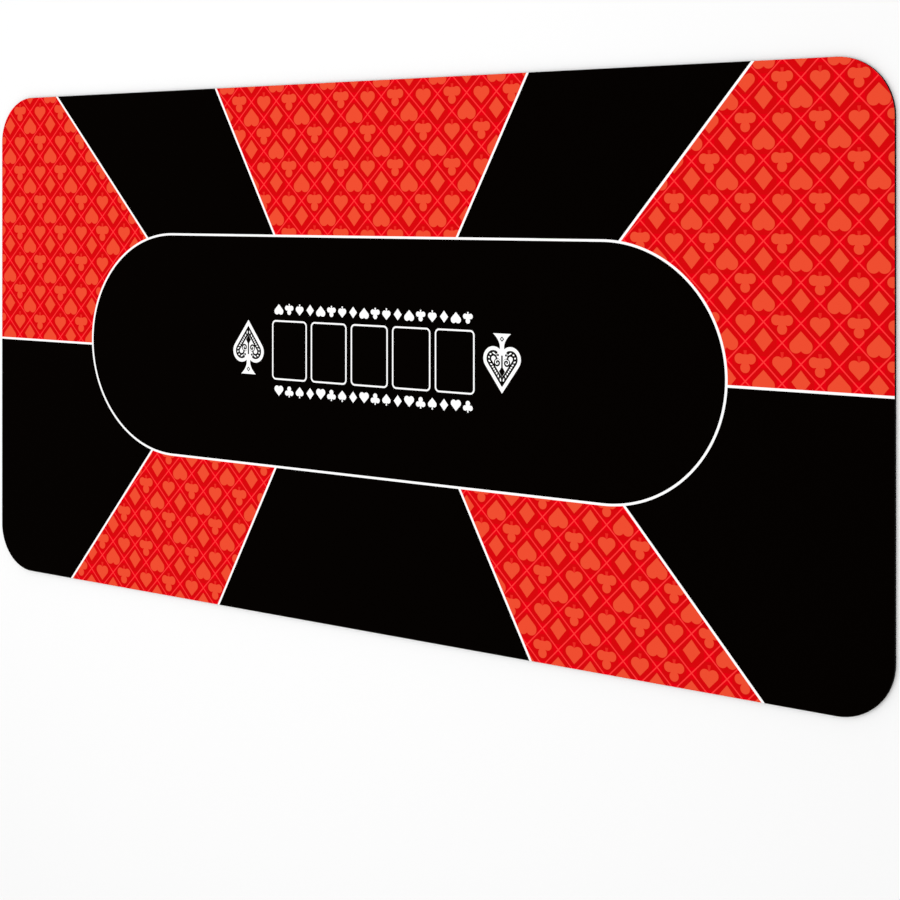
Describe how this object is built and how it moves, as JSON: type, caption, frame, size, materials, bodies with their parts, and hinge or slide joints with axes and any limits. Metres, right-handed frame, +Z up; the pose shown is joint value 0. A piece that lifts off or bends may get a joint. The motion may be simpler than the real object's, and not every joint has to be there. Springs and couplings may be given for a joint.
{
  "type": "roll-up poker mat",
  "caption": "Flexible poker table mat: a printed cloth playing face bonded to a black rubber-foam base, with rounded corners. It lies flat on a table for play and rolls up for storage.",
  "frame": {"origin": "middle of the underside, on the surface that the mat lies on", "axes": "+X along the mat's length towards the strip that stays put when it rolls up, +Y across it, +Z up out of the playing face"},
  "size_m": [1.8, 0.9, 0.006],
  "materials": {
    "printed_cloth": "smooth dye-printed polyester cloth in black and red with white lines, matt",
    "rubber_foam": "black foam rubber with cut edges and a fine non-slip texture underneath, matt"
  },
  "bodies": {
    "strip_01": {"cloth_face_01": "printed_cloth", "foam_base_01": "rubber_foam"},
    "strip_02": {"cloth_face_02": "printed_cloth", "foam_base_02": "rubber_foam"},
    "strip_03": {"cloth_face_03": "printed_cloth", "foam_base_03": "rubber_foam"},
    "strip_04": {"cloth_face_04": "printed_cloth", "foam_base_04": "rubber_foam"},
    "strip_05": {"cloth_face_05": "printed_cloth", "foam_base_05": "rubber_foam"},
    "strip_06": {"cloth_face_06": "printed_cloth", "foam_base_06": "rubber_foam"},
    "strip_07": {"cloth_face_07": "printed_cloth", "foam_base_07": "rubber_foam"},
    "strip_08": {"cloth_face_08": "printed_cloth", "foam_base_08": "rubber_foam"},
    "strip_09": {"cloth_face_09": "printed_cloth", "foam_base_09": "rubber_foam"},
    "strip_10": {"cloth_face_10": "printed_cloth", "foam_base_10": "rubber_foam"},
    "strip_11": {"cloth_face_11": "printed_cloth", "foam_base_11": "rubber_foam"},
    "strip_12": {"cloth_face_12": "printed_cloth", "foam_base_12": "rubber_foam"},
    "strip_13": {"cloth_face_13": "printed_cloth", "foam_base_13": "rubber_foam"},
    "strip_14": {"cloth_face_14": "printed_cloth", "foam_base_14": "rubber_foam"},
    "strip_15": {"cloth_face_15": "printed_cloth", "foam_base_15": "rubber_foam"},
    "strip_16": {"cloth_face_16": "printed_cloth", "foam_base_16": "rubber_foam"},
    "strip_17": {"cloth_face_17": "printed_cloth", "foam_base_17": "rubber_foam"},
    "strip_18": {"cloth_face_18": "printed_cloth", "foam_base_18": "rubber_foam"},
    "strip_19": {"cloth_face_19": "printed_cloth", "foam_base_19": "rubber_foam"},
    "strip_20": {"cloth_face_20": "printed_cloth", "foam_base_20": "rubber_foam"},
    "strip_21": {"cloth_face_21": "printed_cloth", "foam_base_21": "rubber_foam"},
    "strip_22": {"cloth_face_22": "printed_cloth", "foam_base_22": "rubber_foam"},
    "strip_23": {"cloth_face_23": "printed_cloth", "foam_base_23": "rubber_foam"},
    "strip_24": {"cloth_face_24": "printed_cloth", "foam_base_24": "rubber_foam"},
    "strip_25": {"cloth_face_25": "printed_cloth", "foam_base_25": "rubber_foam"},
    "strip_26": {"cloth_face_26": "printed_cloth", "foam_base_26": "rubber_foam"},
    "strip_27": {"cloth_face_27": "printed_cloth", "foam_base_27": "rubber_foam"},
    "strip_28": {"cloth_face_28": "printed_cloth", "foam_base_28": "rubber_foam"},
    "strip_29": {"cloth_face_29": "printed_cloth", "foam_base_29": "rubber_foam"},
    "strip_30": {"cloth_face_30": "printed_cloth", "foam_base_30": "rubber_foam"}
  },
  "joints": [
    {"name": "roll_up", "type": "hinge", "parent": "strip_01", "child": "strip_02", "pos_m": [0.84, 0, 0.006], "axis": [0, 1, 0], "range_deg": [0, 24.91]},
    {"name": "roll_03", "type": "hinge", "parent": "strip_02", "child": "strip_03", "pos_m": [0.78, 0, 0.006], "axis": [0, 1, 0], "range_deg": [0, 25.14]},
    {"name": "roll_04", "type": "hinge", "parent": "strip_03", "child": "strip_04", "pos_m": [0.72, 0, 0.006], "axis": [0, 1, 0], "range_deg": [0, 25.37]},
    {"name": "roll_05", "type": "hinge", "parent": "strip_04", "child": "strip_05", "pos_m": [0.66, 0, 0.006], "axis": [0, 1, 0], "range_deg": [0, 25.61]},
    {"name": "roll_06", "type": "hinge", "parent": "strip_05", "child": "strip_06", "pos_m": [0.6, 0, 0.006], "axis": [0, 1, 0], "range_deg": [0, 25.86]},
    {"name": "roll_07", "type": "hinge", "parent": "strip_06", "child": "strip_07", "pos_m": [0.54, 0, 0.006], "axis": [0, 1, 0], "range_deg": [0, 26.12]},
    {"name": "roll_08", "type": "hinge", "parent": "strip_07", "child": "strip_08", "pos_m": [0.48, 0, 0.006], "axis": [0, 1, 0], "range_deg": [0, 26.38]},
    {"name": "roll_09", "type": "hinge", "parent": "strip_08", "child": "strip_09", "pos_m": [0.42, 0, 0.006], "axis": [0, 1, 0], "range_deg": [0, 26.65]},
    {"name": "roll_10", "type": "hinge", "parent": "strip_09", "child": "strip_10", "pos_m": [0.36, 0, 0.006], "axis": [0, 1, 0], "range_deg": [0, 26.93]},
    {"name": "roll_11", "type": "hinge", "parent": "strip_10", "child": "strip_11", "pos_m": [0.3, 0, 0.006], "axis": [0, 1, 0], "range_deg": [0, 27.22]},
    {"name": "roll_12", "type": "hinge", "parent": "strip_11", "child": "strip_12", "pos_m": [0.24, 0, 0.006], "axis": [0, 1, 0], "range_deg": [0, 27.52]},
    {"name": "roll_13", "type": "hinge", "parent": "strip_12", "child": "strip_13", "pos_m": [0.18, 0, 0.006], "axis": [0, 1, 0], "range_deg": [0, 27.83]},
    {"name": "roll_14", "type": "hinge", "parent": "strip_13", "child": "strip_14", "pos_m": [0.12, 0, 0.006], "axis": [0, 1, 0], "range_deg": [0, 28.15]},
    {"name": "roll_15", "type": "hinge", "parent": "strip_14", "child": "strip_15", "pos_m": [0.06, 0, 0.006], "axis": [0, 1, 0], "range_deg": [0, 28.48]},
    {"name": "roll_16", "type": "hinge", "parent": "strip_15", "child": "strip_16", "pos_m": [0, 0, 0.006], "axis": [0, 1, 0], "range_deg": [0, 28.82]},
    {"name": "roll_17", "type": "hinge", "parent": "strip_16", "child": "strip_17", "pos_m": [-0.06, 0, 0.006], "axis": [0, 1, 0], "range_deg": [0, 29.17]},
    {"name": "roll_18", "type": "hinge", "parent": "strip_17", "child": "strip_18", "pos_m": [-0.12, 0, 0.006], "axis": [0, 1, 0], "range_deg": [0, 29.54]},
    {"name": "roll_19", "type": "hinge", "parent": "strip_18", "child": "strip_19", "pos_m": [-0.18, 0, 0.006], "axis": [0, 1, 0], "range_deg": [0, 29.92]},
    {"name": "roll_20", "type": "hinge", "parent": "strip_19", "child": "strip_20", "pos_m": [-0.24, 0, 0.006], "axis": [0, 1, 0], "range_deg": [0, 30.32]},
    {"name": "roll_21", "type": "hinge", "parent": "strip_20", "child": "strip_21", "pos_m": [-0.3, 0, 0.006], "axis": [0, 1, 0], "range_deg": [0, 30.73]},
    {"name": "roll_22", "type": "hinge", "parent": "strip_21", "child": "strip_22", "pos_m": [-0.36, 0, 0.006], "axis": [0, 1, 0], "range_deg": [0, 31.16]},
    {"name": "roll_23", "type": "hinge", "parent": "strip_22", "child": "strip_23", "pos_m": [-0.42, 0, 0.006], "axis": [0, 1, 0], "range_deg": [0, 31.61]},
    {"name": "roll_24", "type": "hinge", "parent": "strip_23", "child": "strip_24", "pos_m": [-0.48, 0, 0.006], "axis": [0, 1, 0], "range_deg": [0, 32.08]},
    {"name": "roll_25", "type": "hinge", "parent": "strip_24", "child": "strip_25", "pos_m": [-0.54, 0, 0.006], "axis": [0, 1, 0], "range_deg": [0, 32.58]},
    {"name": "roll_26", "type": "hinge", "parent": "strip_25", "child": "strip_26", "pos_m": [-0.6, 0, 0.006], "axis": [0, 1, 0], "range_deg": [0, 33.09]},
    {"name": "roll_27", "type": "hinge", "parent": "strip_26", "child": "strip_27", "pos_m": [-0.66, 0, 0.006], "axis": [0, 1, 0], "range_deg": [0, 33.63]},
    {"name": "roll_28", "type": "hinge", "parent": "strip_27", "child": "strip_28", "pos_m": [-0.72, 0, 0.006], "axis": [0, 1, 0], "range_deg": [0, 34.2]},
    {"name": "roll_29", "type": "hinge", "parent": "strip_28", "child": "strip_29", "pos_m": [-0.78, 0, 0.006], "axis": [0, 1, 0], "range_deg": [0, 34.79]},
    {"name": "roll_30", "type": "hinge", "parent": "strip_29", "child": "strip_30", "pos_m": [-0.84, 0, 0.006], "axis": [0, 1, 0], "range_deg": [0, 35.42]}
  ],
  "couplings": [
    {"joint": "roll_03", "follows": "roll_up", "ratio": 1.0091},
    {"joint": "roll_04", "follows": "roll_up", "ratio": 1.0186},
    {"joint": "roll_05", "follows": "roll_up", "ratio": 1.0282},
    {"joint": "roll_06", "follows": "roll_up", "ratio": 1.0382},
    {"joint": "roll_07", "follows": "roll_up", "ratio": 1.0484},
    {"joint": "roll_08", "follows": "roll_up", "ratio": 1.059},
    {"joint": "roll_09", "follows": "roll_up", "ratio": 1.0699},
    {"joint": "roll_10", "follows": "roll_up", "ratio": 1.0811},
    {"joint": "roll_11", "follows": "roll_up", "ratio": 1.0927},
    {"joint": "roll_12", "follows": "roll_up", "ratio": 1.1047},
    {"joint": "roll_13", "follows": "roll_up", "ratio": 1.117},
    {"joint": "roll_14", "follows": "roll_up", "ratio": 1.1298},
    {"joint": "roll_15", "follows": "roll_up", "ratio": 1.1431},
    {"joint": "roll_16", "follows": "roll_up", "ratio": 1.1568},
    {"joint": "roll_17", "follows": "roll_up", "ratio": 1.171},
    {"joint": "roll_18", "follows": "roll_up", "ratio": 1.1858},
    {"joint": "roll_19", "follows": "roll_up", "ratio": 1.2011},
    {"joint": "roll_20", "follows": "roll_up", "ratio": 1.2171},
    {"joint": "roll_21", "follows": "roll_up", "ratio": 1.2337},
    {"joint": "roll_22", "follows": "roll_up", "ratio": 1.251},
    {"joint": "roll_23", "follows": "roll_up", "ratio": 1.2691},
    {"joint": "roll_24", "follows": "roll_up", "ratio": 1.2879},
    {"joint": "roll_25", "follows": "roll_up", "ratio": 1.3076},
    {"joint": "roll_26", "follows": "roll_up", "ratio": 1.3283},
    {"joint": "roll_27", "follows": "roll_up", "ratio": 1.35},
    {"joint": "roll_28", "follows": "roll_up", "ratio": 1.3727},
    {"joint": "roll_29", "follows": "roll_up", "ratio": 1.3967},
    {"joint": "roll_30", "follows": "roll_up", "ratio": 1.422}
  ]
}
